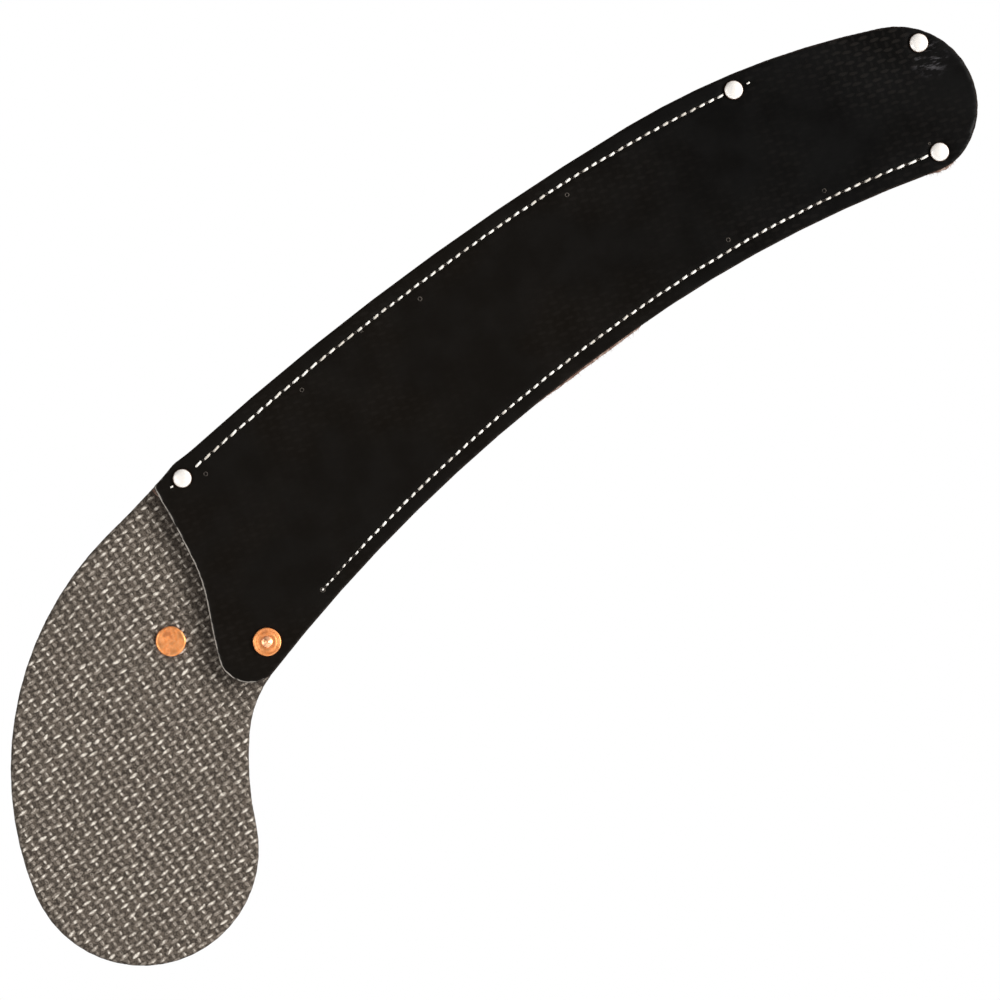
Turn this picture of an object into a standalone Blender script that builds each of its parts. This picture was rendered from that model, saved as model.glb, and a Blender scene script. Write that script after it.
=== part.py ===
"""Scabbard for a curved pruning saw: two plies of rubberised belting, sewn and riveted.

The scabbard hangs mouth up. +Z is up, -Y is the front, and the hollow edge, where the saw's
teeth lie, is on the -X side. The origin is midway between the two copper rivets, on the rear
face of the back panel.
"""
import math

import bmesh
import bpy
from mathutils import Matrix, Vector

MM = 0.001

# Layers from the back to the front, with a clearance between pieces that touch
BELTING = 3.2 * MM
WELT = 4.0 * MM
CLEARANCE = 0.3 * MM
POCKET = WELT + 2 * CLEARANCE
POCKET_BACK = -BELTING
POCKET_FRONT = POCKET_BACK - POCKET
FRONT = POCKET_FRONT - BELTING

# Edges as corners (x, z) in mm, clockwise, each with the radius of the arc to the next corner:
# positive where the arc turns left, negative where it turns right
MOUTH_CORNER = (68.9, -14.6)
TONGUE_CORNER = (-24.0, -10.2)
MOUTH_BULGE = [
    (*MOUTH_CORNER, 60.0),
    (70.1, -20.4, 200.0),
    (71.8, -26.4, -12.0),
    (72.1, -30.0, 80.0),
]
SPINE_EDGE = [(72.6, -38.0, -1180.0), (78.8, -264.7, -345.0)]
TIP_EDGE = [(51.8, -375.4, -33.9), (16.0, -395.8, -33.4), (-10.5, -375.1, -22.2)]
TOOTH_EDGE = [(-11.3, -361.0, 540.0), (7.0, -215.0, 698.0)]
SHIELD_EDGE = [
    (*TONGUE_CORNER, 46.6),
    (-38.9, 11.6, 132.0),
    (-72.4, 31.6, -48.9),
    (-43.4, 124.5, -139.0),
    (63.5, 13.5, 400.0),
]
THROAT_EDGE = [
    (*TONGUE_CORNER, -13.5),
    (-5.1, 4.0, -300.0),
    (14.0, -4.2, 75.0),
    (31.0, -10.0, 390.0),
]
ARC_SAG = 0.12
PANEL_EDGE = MOUTH_BULGE + SPINE_EDGE + TIP_EDGE + TOOTH_EDGE

# Welts follow the edge, without its bulge, between two distances along it from the mouth corner
WELT_EDGE = [(*MOUTH_CORNER, -1180.0)] + SPINE_EDGE + TIP_EDGE + TOOTH_EDGE
WELT_WIDTH = 12.5 * MM
WELT_SETBACK = 0.5 * MM
SPINE_WELT = (-1.3 * MM, 309 * MM)
TOOTH_WELT = (446 * MM, 806 * MM)

# Seams run near the middle of the welts, each along two arcs from its mouth end to its tip end
SPINE_SEAM = ([(65.5, -32.6, -1300.0), (75.3, -180.0, -700.0)], (67.2, -305.0))
TOOTH_SEAM = ([(-7.2, -48.2, -740.0), (13.3, -212.0, -550.0)], (-3.7, -360.0))
THREAD_RADIUS = 0.45 * MM

# The welt widens to a round pad that fills the tongue below its edge
TONGUE_CENTRE = (-10.7 * MM, -8.2 * MM)
TONGUE_PAD_RADIUS = 11.3 * MM
TONGUE_PAD_HEIGHT = 36 * MM

# Rivet centres (x, z)
MOUTH_RIVET = (64.9 * MM, -26.8 * MM)
SPINE_RIVET = (65.7 * MM, -309.8 * MM)
TIP_RIVET = (37.4 * MM, -385.0 * MM)
TOOTH_RIVET = (-5.2 * MM, -365.7 * MM)
SHIELD_RIVET = (11.7 * MM, 16.6 * MM)
TONGUE_RIVET = (-11.7 * MM, -16.6 * MM)

# Past the two rivets that end the seams, the front panel is drawn down onto the back panel
PINCH_DEPTH = POCKET - CLEARANCE
PINCH_START = 11 * MM
PINCH_END = 36 * MM
PINCH_STEPS = 8

# Two-part nickel rivets
NICKEL_CAP_RADIUS = 3.95 * MM
NICKEL_CAP_HEIGHT = 1.7 * MM
NICKEL_POST_RADIUS = 1.4 * MM
NICKEL_FLANGE_HEIGHT = 1.0 * MM

# Solid copper rivets with burrs
COPPER_SHANK_RADIUS = 2.1 * MM
COPPER_HEAD_RADIUS = 6.35 * MM
COPPER_HEAD_HEIGHT = 1.6 * MM
BURR_RADIUS = 6.0 * MM
BURR_THICKNESS = 1.3 * MM
PEEN_RADIUS = 3.4 * MM
PEEN_HEIGHT = 1.5 * MM

# The belt loop, a strap riveted at both ends and bowed away from the back panel
LOOP_THICKNESS = 2.8 * MM
LOOP_WIDTH = 16 * MM
LOOP_WALL = 11.4 * MM
LOOP_LEAN = 0.5 * MM
LOOP_RISE = 9.0 * MM
LOOP_FOOT_BEND = 2.4 * MM
LOOP_TOP_BEND = 4.0 * MM

# The back panel's rear face above this height stays clear of the loop and the seams
REST_FACE_BOTTOM = 30 * MM

ROUND = 24
HOLE_LENGTH = 60 * MM
MERGE = 0.01 * MM


def clear_scene():
    for thing in list(bpy.data.objects):
        bpy.data.objects.remove(thing)


def new_collection(name):
    collection = bpy.data.collections.new(name)
    bpy.context.scene.collection.children.link(collection)
    return collection


def material(name, colour, roughness, metallic=0.0):
    made = bpy.data.materials.new(name)
    made.use_nodes = True
    shader = made.node_tree.nodes["Principled BSDF"]
    shader.inputs["Base Color"].default_value = (*colour, 1.0)
    shader.inputs["Roughness"].default_value = roughness
    shader.inputs["Metallic"].default_value = metallic
    made.diffuse_color = (*colour, 1.0)
    return made


def arc(start, end, radius):
    """Points from start up to end, without end, on the short arc between them."""
    start, end = Vector(start), Vector(end)
    chord = end - start
    size = abs(radius)
    side = math.copysign(1.0, radius)
    normal = Vector((-chord.y, chord.x)).normalized() * side
    centre = (start + end) / 2 + normal * math.sqrt(size ** 2 - chord.length_squared / 4)
    turn = 2 * math.asin(chord.length / 2 / size) * side
    count = max(2, math.ceil(abs(turn) / (2 * math.acos(1 - ARC_SAG / size))))
    spoke = start - centre
    return [centre + Matrix.Rotation(turn * i / count, 2) @ spoke for i in range(count)]


def trace(corners, last):
    """The points of an edge from its corners, in metres, ending at the corner last."""
    ends = [corner[:2] for corner in corners[1:]] + [last]
    points = []
    for (x, z, radius), end in zip(corners, ends):
        points += arc((x, z), end, radius)
    return [point * MM for point in points + [Vector(last)]]


def section(path, start, end):
    """The stretch of a path between two distances along it, extended where it is too short."""
    lengths = [0.0]
    for a, b in zip(path, path[1:]):
        lengths.append(lengths[-1] + (b - a).length)

    def at(distance):
        i = max(j for j in range(len(path) - 1) if lengths[j] <= max(distance, 0.0))
        part = (distance - lengths[i]) / (lengths[i + 1] - lengths[i])
        return path[i].lerp(path[i + 1], part) if part >= 0 else path[0] + (path[1] - path[0]) * part

    between = [p for p, d in zip(path, lengths) if start + MM < d < end - MM]
    return [at(start)] + between + [at(end)]


def inset(path, distance):
    """The path moved to its right, which is inwards on a clockwise edge."""
    moved = []
    for i, point in enumerate(path):
        along = (path[min(i + 1, len(path) - 1)] - path[max(i - 1, 0)]).normalized()
        moved.append(point + Vector((along.y, -along.x)) * distance)
    return moved


def mesh_object(name, curve_object, collection):
    """Turn a curve into a welded mesh object at the same place."""
    bpy.context.view_layer.update()
    evaluated = curve_object.evaluated_get(bpy.context.evaluated_depsgraph_get())
    mesh = bpy.data.meshes.new_from_object(evaluated)
    shape = bmesh.new()
    shape.from_mesh(mesh)
    bmesh.ops.remove_doubles(shape, verts=shape.verts, dist=MERGE)
    shape.to_mesh(mesh)
    shape.free()
    made = bpy.data.objects.new(name, mesh)
    made.matrix_world = curve_object.matrix_world
    bpy.data.objects.remove(curve_object)
    collection.objects.link(made)
    return made


def plate(name, outline, thickness, placed, collection, finish):
    """A flat closed outline of the local XY plane, given a thickness either side of it."""
    curve = bpy.data.curves.new(name, "CURVE")
    curve.dimensions = "2D"
    curve.fill_mode = "BOTH"
    curve.extrude = thickness / 2
    spline = curve.splines.new("POLY")
    spline.points.add(len(outline) - 1)
    for control, point in zip(spline.points, outline):
        control.co = (point.x, point.y, 0.0, 1.0)
    spline.use_cyclic_u = True
    drawn = bpy.data.objects.new(name + "_outline", curve)
    collection.objects.link(drawn)
    drawn.matrix_world = placed
    made = mesh_object(name, drawn, collection)
    made.data.materials.append(finish)
    return made


def standing(y_front, y_back):
    """Thickness and placing for a plate that stands in the XZ plane between two y values."""
    turn = Matrix.Rotation(math.radians(90), 4, "X")
    return y_back - y_front, Matrix.Translation((0, (y_front + y_back) / 2, 0)) @ turn


def strand(name, path, y, collection, finish):
    """A seam's thread as one strand laid along a path at one depth."""
    curve = bpy.data.curves.new(name, "CURVE")
    curve.dimensions = "3D"
    curve.bevel_depth = THREAD_RADIUS
    curve.bevel_resolution = 2
    curve.use_fill_caps = True
    spline = curve.splines.new("POLY")
    spline.points.add(len(path) - 1)
    for control, point in zip(spline.points, path):
        control.co = (point.x, y, point.y, 1.0)
    drawn = bpy.data.objects.new(name + "_path", curve)
    collection.objects.link(drawn)
    made = mesh_object(name, drawn, collection)
    made.data.materials.append(finish)
    return made


def turned(name, profile, spot, y, facing, collection, finish, ring=False):
    """A turned piece: (radius, height) pairs run down the outside, and height grows towards facing."""
    mesh = bpy.data.meshes.new(name)
    shape = bmesh.new()
    verts = [shape.verts.new((radius, 0, height)) for radius, height in profile]
    for a, b in zip(verts, verts[1:] + verts[:1] if ring else verts[1:]):
        shape.edges.new((a, b))
    shape.to_mesh(mesh)
    shape.free()
    made = bpy.data.objects.new(name, mesh)
    made.location = (spot[0], y, spot[1])
    made.rotation_euler = (math.radians(90) * facing, 0, 0)
    collection.objects.link(made)
    screw = made.modifiers.new("Turn", "SCREW")
    screw.steps = ROUND
    screw.render_steps = ROUND
    screw.use_merge_vertices = True
    screw.merge_threshold = MERGE
    mesh.materials.append(finish)
    return made


def hole_cutter(name, spot, radius, collection):
    bpy.ops.mesh.primitive_cylinder_add(
        vertices=ROUND,
        radius=radius,
        depth=HOLE_LENGTH,
        location=(spot[0], 0, spot[1]),
        rotation=(math.radians(90), 0, 0),
    )
    cutter = bpy.context.object
    cutter.name = name
    for holder in list(cutter.users_collection):
        holder.objects.unlink(cutter)
    collection.objects.link(cutter)
    hide(cutter)
    return cutter


def hide(guide):
    guide.hide_render = True
    guide.display_type = "WIRE"


def boolean(target, cutter, operation="DIFFERENCE"):
    modifier = target.modifiers.new(cutter.name, "BOOLEAN")
    modifier.operation = operation
    modifier.solver = "EXACT"
    modifier.object = cutter


def pinch_fall():
    """The level direction in which the pinched tip falls away from the seams' end rivets."""
    along = (Vector(TOOTH_RIVET) - Vector(SPINE_RIVET)).normalized()
    return Vector((-along.y, along.x))


def pinch(panel):
    """Draw the panel's tip down towards the back in one smooth bend across its width."""
    fall = pinch_fall()
    world = panel.matrix_world
    inverse = world.inverted()
    shape = bmesh.new()
    shape.from_mesh(panel.data)
    normal = inverse.to_3x3() @ Vector((fall.x, 0, fall.y))
    for i in range(PINCH_STEPS + 1):
        distance = PINCH_START + (PINCH_END - PINCH_START) * i / PINCH_STEPS
        spot = Vector(SPINE_RIVET) + fall * distance
        bmesh.ops.bisect_plane(
            shape,
            geom=shape.verts[:] + shape.edges[:] + shape.faces[:],
            plane_co=inverse @ Vector((spot.x, 0, spot.y)),
            plane_no=normal,
        )
    for vert in shape.verts:
        place = world @ vert.co
        distance = (Vector((place.x, place.z)) - Vector(SPINE_RIVET)).dot(fall)
        part = min(max((distance - PINCH_START) / (PINCH_END - PINCH_START), 0.0), 1.0)
        place.y += PINCH_DEPTH * part * part * (3 - 2 * part)
        vert.co = inverse @ place
    bmesh.ops.triangulate(shape, faces=shape.faces)
    shape.to_mesh(panel.data)
    shape.free()


def mark_rest_face(panel):
    """Split the panel's faces along a level line, so that the shield's rear face stands alone."""
    shape = bmesh.new()
    shape.from_mesh(panel.data)
    inverse = panel.matrix_world.inverted()
    bmesh.ops.bisect_plane(
        shape,
        geom=shape.verts[:] + shape.edges[:] + shape.faces[:],
        plane_co=inverse @ Vector((0, 0, REST_FACE_BOTTOM)),
        plane_no=inverse.to_3x3() @ Vector((0, 0, 1)),
    )
    shape.to_mesh(panel.data)
    shape.free()


def make_panels(parts, rubber, weave):
    edge = trace(PANEL_EDGE, TONGUE_CORNER)
    shield = trace(SHIELD_EDGE, MOUTH_CORNER)
    throat = trace(THROAT_EDGE, MOUTH_CORNER)
    back = plate("back_panel", edge[:-1] + shield[:-1], *standing(POCKET_BACK, 0), parts, weave)
    front = plate("front_panel", edge[:-1] + throat[:-1], *standing(FRONT, POCKET_FRONT), parts, rubber)
    mark_rest_face(back)
    pinch(front)
    return back, front


def tooth_welt_outline(edge):
    outer = inset(section(edge, *TOOTH_WELT), WELT_SETBACK)
    inner = inset(section(edge, TOOTH_WELT[0], TOOTH_WELT[1] - TONGUE_PAD_HEIGHT), WELT_WIDTH)
    centre = Vector(TONGUE_CENTRE)
    pad = []
    for i in range(13):
        angle = math.radians(180 - 15 * i)
        pad.append(centre + Vector((math.cos(angle), math.sin(angle))) * TONGUE_PAD_RADIUS)
    return outer + pad + inner[::-1]


def spine_welt_outline(edge):
    path = section(edge, *SPINE_WELT)
    return inset(path, WELT_SETBACK) + inset(path, WELT_WIDTH)[::-1]


def make_welts(parts, leather):
    edge = trace(WELT_EDGE, TONGUE_CORNER)
    layer = standing(POCKET_FRONT + CLEARANCE, POCKET_BACK - CLEARANCE)
    tooth = plate("welt_tooth_side", tooth_welt_outline(edge), *layer, parts, leather)
    spine = plate("welt_spine_side", spine_welt_outline(edge), *layer, parts, leather)
    return tooth, spine


def make_threads(parts, cotton):
    lift = CLEARANCE + THREAD_RADIUS
    for seam, (corners, end) in (("spine", SPINE_SEAM), ("tooth", TOOTH_SEAM)):
        path = trace(corners, end)
        strand("needle_thread_%s_seam" % seam, path, FRONT - lift, parts, cotton)
        strand("bobbin_thread_%s_seam" % seam, path, lift, parts, cotton)


def make_nickel_rivet(where, spot, y_front, parts, nickel):
    """A domed cap pressed onto the post of a flanged base that comes through from the back."""
    cap, base = NICKEL_CAP_RADIUS, NICKEL_FLANGE_HEIGHT
    post, top = NICKEL_POST_RADIUS, NICKEL_CAP_HEIGHT
    socket = post + CLEARANCE
    cap_profile = [
        (0, top),
        (cap * 0.55, top * 0.93),
        (cap * 0.85, top * 0.7),
        (cap, top * 0.35),
        (cap, 0),
        (socket, 0),
        (socket, top * 0.6),
        (0, top * 0.6),
    ]
    cap_y = y_front - CLEARANCE
    turned("nickel_cap_" + where, cap_profile, spot, cap_y, 1, parts, nickel)
    reach = CLEARANCE - cap_y + top * 0.3
    post_profile = [
        (0, base),
        (cap * 0.6, base * 0.9),
        (cap, base * 0.3),
        (cap, 0),
        (post, 0),
        (post, -reach),
        (0, -reach),
    ]
    turned("nickel_post_" + where, post_profile, spot, CLEARANCE, -1, parts, nickel)


def make_copper_rivet(where, spot, y_head, y_burr, parts, copper):
    """A rivet whose head sits at y_head and whose shank is peened over a burr at y_burr."""
    facing = 1 if y_head < y_burr else -1
    gap = CLEARANCE * facing
    grip = abs(y_burr - y_head) + 3 * CLEARANCE + BURR_THICKNESS
    head, height = COPPER_HEAD_RADIUS, COPPER_HEAD_HEIGHT
    profile = [
        (0, height),
        (head * 0.7, height * 0.9),
        (head * 0.95, height * 0.6),
        (head, height * 0.3),
        (head, 0),
        (COPPER_SHANK_RADIUS, 0),
        (COPPER_SHANK_RADIUS, -grip),
        (PEEN_RADIUS, -grip),
        (PEEN_RADIUS * 0.9, -grip - PEEN_HEIGHT * 0.5),
        (PEEN_RADIUS * 0.5, -grip - PEEN_HEIGHT * 0.9),
        (0, -grip - PEEN_HEIGHT),
    ]
    turned("copper_rivet_" + where, profile, spot, y_head - gap, facing, parts, copper)
    bore = COPPER_SHANK_RADIUS + CLEARANCE
    washer = [
        (bore, BURR_THICKNESS),
        (BURR_RADIUS * 0.93, BURR_THICKNESS),
        (BURR_RADIUS, BURR_THICKNESS * 0.6),
        (BURR_RADIUS, 0),
        (bore, 0),
    ]
    turned("copper_burr_" + where, washer, spot, y_burr + gap, -facing, parts, copper, ring=True)


def loop_directions():
    along = Vector((SHIELD_RIVET[0], 0, SHIELD_RIVET[1])).normalized()
    out = Vector((0, 1, 0))
    return along, out, along.cross(out)


def bend(corner, before, after, radius, steps=6):
    """Points of a rounded corner between the directions towards before and after."""
    back, on = (before - corner).normalized(), (after - corner).normalized()
    half = back.angle(on) / 2
    centre = corner + (back + on).normalized() * radius / math.sin(half)
    start = corner + back * radius / math.tan(half)
    end = corner + on * radius / math.tan(half)
    first, last = start - centre, end - centre
    turn = first.angle_signed(last)
    return [centre + Matrix.Rotation(-turn * i / steps, 2) @ first for i in range(steps + 1)]


def loop_midline():
    """The strap's middle line: u along the strap from the middle, v out from the panel."""
    tab = CLEARANCE + LOOP_THICKNESS / 2
    reach = Vector(SHIELD_RIVET).length + LOOP_WIDTH / 2 + 1 * MM
    top = tab + LOOP_RISE
    end = Vector((reach, tab))
    foot = Vector((LOOP_WALL + LOOP_LEAN, tab))
    shoulder = Vector((LOOP_WALL - LOOP_LEAN, top))
    crown = Vector((0, top))
    half = [end] + bend(foot, end, shoulder, LOOP_FOOT_BEND)
    half += bend(shoulder, foot, crown, LOOP_TOP_BEND)
    return half + [Vector((-p.x, p.y)) for p in half[::-1]]


def make_belt_loop(parts, cutters, leather):
    along, out, across = loop_directions()
    middle = loop_midline()
    profile = inset(middle, LOOP_THICKNESS / 2) + inset(middle, -LOOP_THICKNESS / 2)[::-1]
    placed = Matrix((along, out, across)).transposed().to_4x4()
    strap = plate("belt_loop", profile, LOOP_WIDTH, placed, parts, leather)
    outline = []
    reach, radius = Vector(SHIELD_RIVET).length, LOOP_WIDTH / 2
    for side in (1, -1):
        for i in range(13):
            angle = math.radians(-90 + 15 * i) + (0 if side == 1 else math.pi)
            outline.append(Vector((side * reach + math.cos(angle) * radius, math.sin(angle) * radius)))
    plan = Matrix((along, across, along.cross(across))).transposed().to_4x4()
    ends = plate("belt_loop_outline", outline, HOLE_LENGTH, plan, cutters, leather)
    hide(ends)
    boolean(strap, ends, "INTERSECT")
    return strap


def main():
    clear_scene()
    parts = new_collection("Curved saw scabbard")
    cutters = new_collection("Cutters")
    rubber = material("Black belting rubber", (0.012, 0.011, 0.010), 0.45)
    weave = material("Woven belting fabric", (0.16, 0.15, 0.13), 0.85)
    leather = material("Red-brown leather", (0.20, 0.07, 0.05), 0.75)
    cotton = material("White bonded thread", (0.85, 0.84, 0.80), 0.6)
    nickel = material("Nickel plate", (0.78, 0.76, 0.72), 0.25, 1.0)
    copper = material("Copper", (0.74, 0.35, 0.19), 0.35, 1.0)

    back, front = make_panels(parts, rubber, weave)
    tooth_welt, spine_welt = make_welts(parts, leather)
    make_threads(parts, cotton)
    loop = make_belt_loop(parts, cutters, leather)

    nickel_holes = {
        "mouth": (MOUTH_RIVET, FRONT, (back, spine_welt, front)),
        "spine": (SPINE_RIVET, FRONT, (back, spine_welt, front)),
        "tip": (TIP_RIVET, FRONT + PINCH_DEPTH, (back, front)),
        "tooth": (TOOTH_RIVET, FRONT, (back, tooth_welt, front)),
    }
    for where, (spot, y_front, layers) in nickel_holes.items():
        make_nickel_rivet(where, spot, y_front, parts, nickel)
        cutter = hole_cutter("hole_" + where, spot, NICKEL_POST_RADIUS + CLEARANCE, cutters)
        for layer in layers:
            boolean(layer, cutter)

    loop_back = CLEARANCE + LOOP_THICKNESS
    copper_holes = {
        "shield": (SHIELD_RIVET, POCKET_BACK, loop_back, (back, loop)),
        "tongue": (TONGUE_RIVET, loop_back, FRONT, (back, tooth_welt, front, loop)),
    }
    for where, (spot, y_head, y_burr, layers) in copper_holes.items():
        make_copper_rivet(where, spot, y_head, y_burr, parts, copper)
        cutter = hole_cutter("hole_" + where, spot, COPPER_SHANK_RADIUS + CLEARANCE, cutters)
        for layer in layers:
            boolean(layer, cutter)


main()
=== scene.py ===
"""The looks of a curved pruning saw's scabbard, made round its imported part.

Two panels of rubber-faced conveyor belting are sewn and riveted over leather welts. The scabbard
hangs mouth up: +Z is up, -Y is the front, and the saw's teeth lie along the -X side.
"""

import math
import random
from functools import partial

import bpy
import numpy as np
from mathutils import Matrix, Vector, noise
from mathutils.bvhtree import BVHTree


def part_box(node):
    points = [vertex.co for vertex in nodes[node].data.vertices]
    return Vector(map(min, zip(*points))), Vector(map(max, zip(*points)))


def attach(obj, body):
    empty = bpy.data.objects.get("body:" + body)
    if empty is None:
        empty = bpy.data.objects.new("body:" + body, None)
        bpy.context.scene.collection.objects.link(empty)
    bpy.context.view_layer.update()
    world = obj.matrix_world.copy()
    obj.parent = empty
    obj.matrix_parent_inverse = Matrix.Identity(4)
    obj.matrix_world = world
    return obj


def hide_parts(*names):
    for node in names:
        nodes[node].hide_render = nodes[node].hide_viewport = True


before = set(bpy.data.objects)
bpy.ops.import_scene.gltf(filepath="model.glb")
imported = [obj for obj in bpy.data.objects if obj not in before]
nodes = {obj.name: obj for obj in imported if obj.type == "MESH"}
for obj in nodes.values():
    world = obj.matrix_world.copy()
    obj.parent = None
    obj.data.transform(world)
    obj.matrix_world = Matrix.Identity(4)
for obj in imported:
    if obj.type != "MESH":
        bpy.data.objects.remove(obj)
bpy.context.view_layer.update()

MM = 0.001
FORWARD = Vector((0, -1, 0))

# Layers of the part, from the back to the front
BELTING = 3.2 * MM
SHIELD_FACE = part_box("back_panel")[0][1]
FRONT_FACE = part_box("front_panel")[0][1]

# The seams, each along two arcs: corners (x, z) in mm with the radius of the arc to the next one
SPINE_SEAM = [(65.5, -32.6, -1300.0), (75.3, -180.0, -700.0), (64.1, -319.7, 0)]
TOOTH_SEAM = [(-7.2, -48.2, -740.0), (13.3, -212.0, -550.0), (-4.0, -361.6, 0)]
GROOVE_DEPTH = 0.38 * MM
GROOVE_WIDTH = 1.0 * MM
CAP_SINK = 0.3 * MM
THREAD = 0.49 * MM

# The tip of the front panel is drawn down past a line through the two rivets that end the seams
PINCH_DEPTH = 4.3 * MM
PINCH_START = 11 * MM
PINCH_END = 36 * MM

# The cloth of the belting is a broken twill, whose long floats lie along Z in columns
COLUMN = 4.272 * MM
ROW = 4.642 * MM
FIRST_FLOAT = (-29.05 * MM, 57.48 * MM)
DRIFT = 0.111 * MM
TWILL = (0.0, 0.5, 0.75, 0.25)
FLOAT_COLUMNS = range(-17, 26)
FLOAT_ROWS = range(-26, 18)

# The front panel was cut with its cloth turned this far, in degrees, and its plies are this thick
CLOTH_TURN = -17
PLY = 1.25 * MM

# Beside the tip rivet: where the cloth shows through most, and where grey streaks of painted sheen
# lie
DRAWN_SPOT = (45.5 * MM, 0, -366.7 * MM)
PAINTED_SHEEN_SPOT = (29.6 * MM, 0, -384.8 * MM)

# The middle of the studio floor glows, over a square this wide, in metres
LIGHT_TABLE = 9.0

# Scars left by the tacks: x, z and radius in mm
TACKS = [
    (60.8, -35.9, 0.8), (66.5, -89.2, 0.8), (69.4, -151.7, 0.8), (69.8, -227.3, 0.8),
    (15.5, -271.9, 0.8), (9.3, -316.7, 0.8), (72.0, -123.8, 0.45), (0.1, -364.2, 0.45),
    (-7.2, -48.2, 0.95),
]

NICKEL_SPOTS = ("mouth", "spine", "tip", "tooth")


# ---------------------------------------------------------------- materials

SMOOTH = {"interpolation_type": "SMOOTHSTEP"}
COLOURS = {"data_type": "RGBA"}


def linear(code):
    """An sRGB hex colour as linear RGBA."""
    parts = [int(code[i : i + 2], 16) / 255 for i in (1, 3, 5)]
    return (*[p / 12.92 if p < 0.04045 else ((p + 0.055) / 1.055) ** 2.4 for p in parts], 1.0)


def add(tree, kind, values=(), **settings):
    """Add a node with its settings and links, and return its outputs."""
    made = tree.nodes.new("ShaderNode" + kind)
    for name, value in settings.items():
        setattr(made, name, value)
    for socket, value in values.items() if isinstance(values, dict) else enumerate(values):
        if isinstance(value, bpy.types.NodeSocket):
            tree.links.new(value, made.inputs[socket])
        else:
            value = linear(value) if isinstance(value, str) else value
            made.inputs[socket].default_value = value
    return made.outputs


def begin(name, **sockets):
    """A new material with constants on its shader, and what adds nodes to it."""
    made = bpy.data.materials.new(name)
    made.use_nodes = True
    shader = made.node_tree.nodes["Principled BSDF"]
    for socket, value in sockets.items():
        shader.inputs[socket.replace("_", " ")].default_value = value
    return made, partial(add, made.node_tree)


def finish(made, **sockets):
    """Link a material's results to its shader."""
    tree = made.node_tree
    for socket, value in sockets.items():
        tree.links.new(value, tree.nodes["Principled BSDF"].inputs[socket.replace("_", " ")])
    return made


def blend(node, value, low, high, first, second, most=1.0):
    """A colour that goes from first to second as a value goes from low to high."""
    part = node("MapRange", (value, low, high, 0.0, most), **SMOOTH)[0]
    return node("Mix", {0: part, 6: first, 7: second}, **COLOURS)[2]


def distance_to(node, place, spot):
    """How far a place is from a spot, as seen from the front."""
    gap = node("VectorMath", (place, spot), operation="SUBTRACT")[0]
    flat = node("VectorMath", (gap, (1, 0, 1)), operation="MULTIPLY")[0]
    return node("VectorMath", (flat,), operation="LENGTH")[1]


def twill(node, place, wander):
    """Masks of the twill's long and short floats over the XZ plane."""
    shaken = node("TexNoise", {"Vector": place, "Scale": 1 / (2.6 * MM), "Detail": 1.0})[1]
    centred = node("VectorMath", (shaken, (0.5, 0.5, 0.5)), operation="SUBTRACT")[0]
    moved = node("VectorMath", (centred, (wander,) * 3, place), operation="MULTIPLY_ADD")[0]
    axes = node("SeparateXYZ", (moved,))
    x0, z0 = FIRST_FLOAT
    column = node("Math", (axes[2], -1 / COLUMN, z0 / COLUMN + 0.5), operation="MULTIPLY_ADD")[0]
    index = node("Math", (column,), operation="FLOOR")[0]
    part = node("Math", (column,), operation="FRACT")[0]
    centred = node("Math", (part, 0.5), operation="SUBTRACT")[0]
    along = node("Math", (centred, COLUMN), operation="MULTIPLY")[0]

    # Each column is offset along X: by 0, 1/2, 3/4 and 1/4 of a row in turn, as TWILL says
    turn = node("Math", (index, 4.0), operation="FLOORED_MODULO")[0]
    half = node("Math", (turn, 0.5), operation="MULTIPLY")[0]
    pair = node("Math", (half,), operation="FLOOR")[0]
    later = node("Math", (pair, 0.75), operation="MULTIPLY")[0]
    lag = node("Math", (turn, 0.5, later), operation="MULTIPLY_ADD")[0]
    offset = node("Math", (lag,), operation="FRACT")[0]
    shift = node("Math", (index, DRIFT / ROW, x0 / ROW), operation="MULTIPLY_ADD")[0]
    level = node("Math", (axes[0], -1 / ROW, shift), operation="MULTIPLY_ADD")[0]
    row = node("Math", (level, offset), operation="SUBTRACT")[0]
    masks = []
    for slide, half_x, half_z in ((0.5, 0.95 * MM, 2.5 * MM), (0.0, 1.4 * MM, 0.9 * MM)):
        slid = node("Math", (row, slide), operation="ADD")[0]
        part = node("Math", (slid,), operation="FRACT")[0]
        across = node("Math", (part, 0.5), operation="SUBTRACT")[0]
        a = node("Math", (across, ROW / half_x), operation="MULTIPLY")[0]
        b = node("Math", (along, 1 / half_z), operation="MULTIPLY")[0]
        a_squared = node("Math", (a, a), operation="MULTIPLY")[0]
        b_squared = node("Math", (b, b), operation="MULTIPLY")[0]
        reach = node("Math", (a_squared, b_squared), operation="ADD")[0]
        masks.append(node("MapRange", (reach, 1.0, 0.15), **SMOOTH)[0])
    return masks


def cut_plies(node, place, grain, dark, pale):
    """Plies of cloth between skins of rubber at a cut edge: their fibres, and their colour."""
    depth = node("Attribute", attribute_name="ply_depth")["Fac"]
    rough = node(
        "TexNoise", {"Vector": place, "Scale": 1 / (1.4 * MM), "Detail": 3.0, "Roughness": 0.6}
    )[0]
    sunk = node("Math", (depth, 0.25 * MM), operation="SUBTRACT")[0]
    level = node("Math", (rough, 0.5 * MM, sunk), operation="MULTIPLY_ADD")[0]
    phase = node("Math", (level, 2 * math.pi / PLY), operation="MULTIPLY")[0]
    plies = node("Math", (phase,), operation="SINE")[0]
    fibre = node(
        "TexNoise", {"Vector": place, "Scale": 1 / grain, "Detail": 3.0, "Roughness": 0.7}
    )[0]
    cloth = blend(node, fibre, 0.3, 0.75, dark, pale)
    return fibre, blend(node, plies, 0.1, 0.8, "#0d0b0a", cloth)


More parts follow.
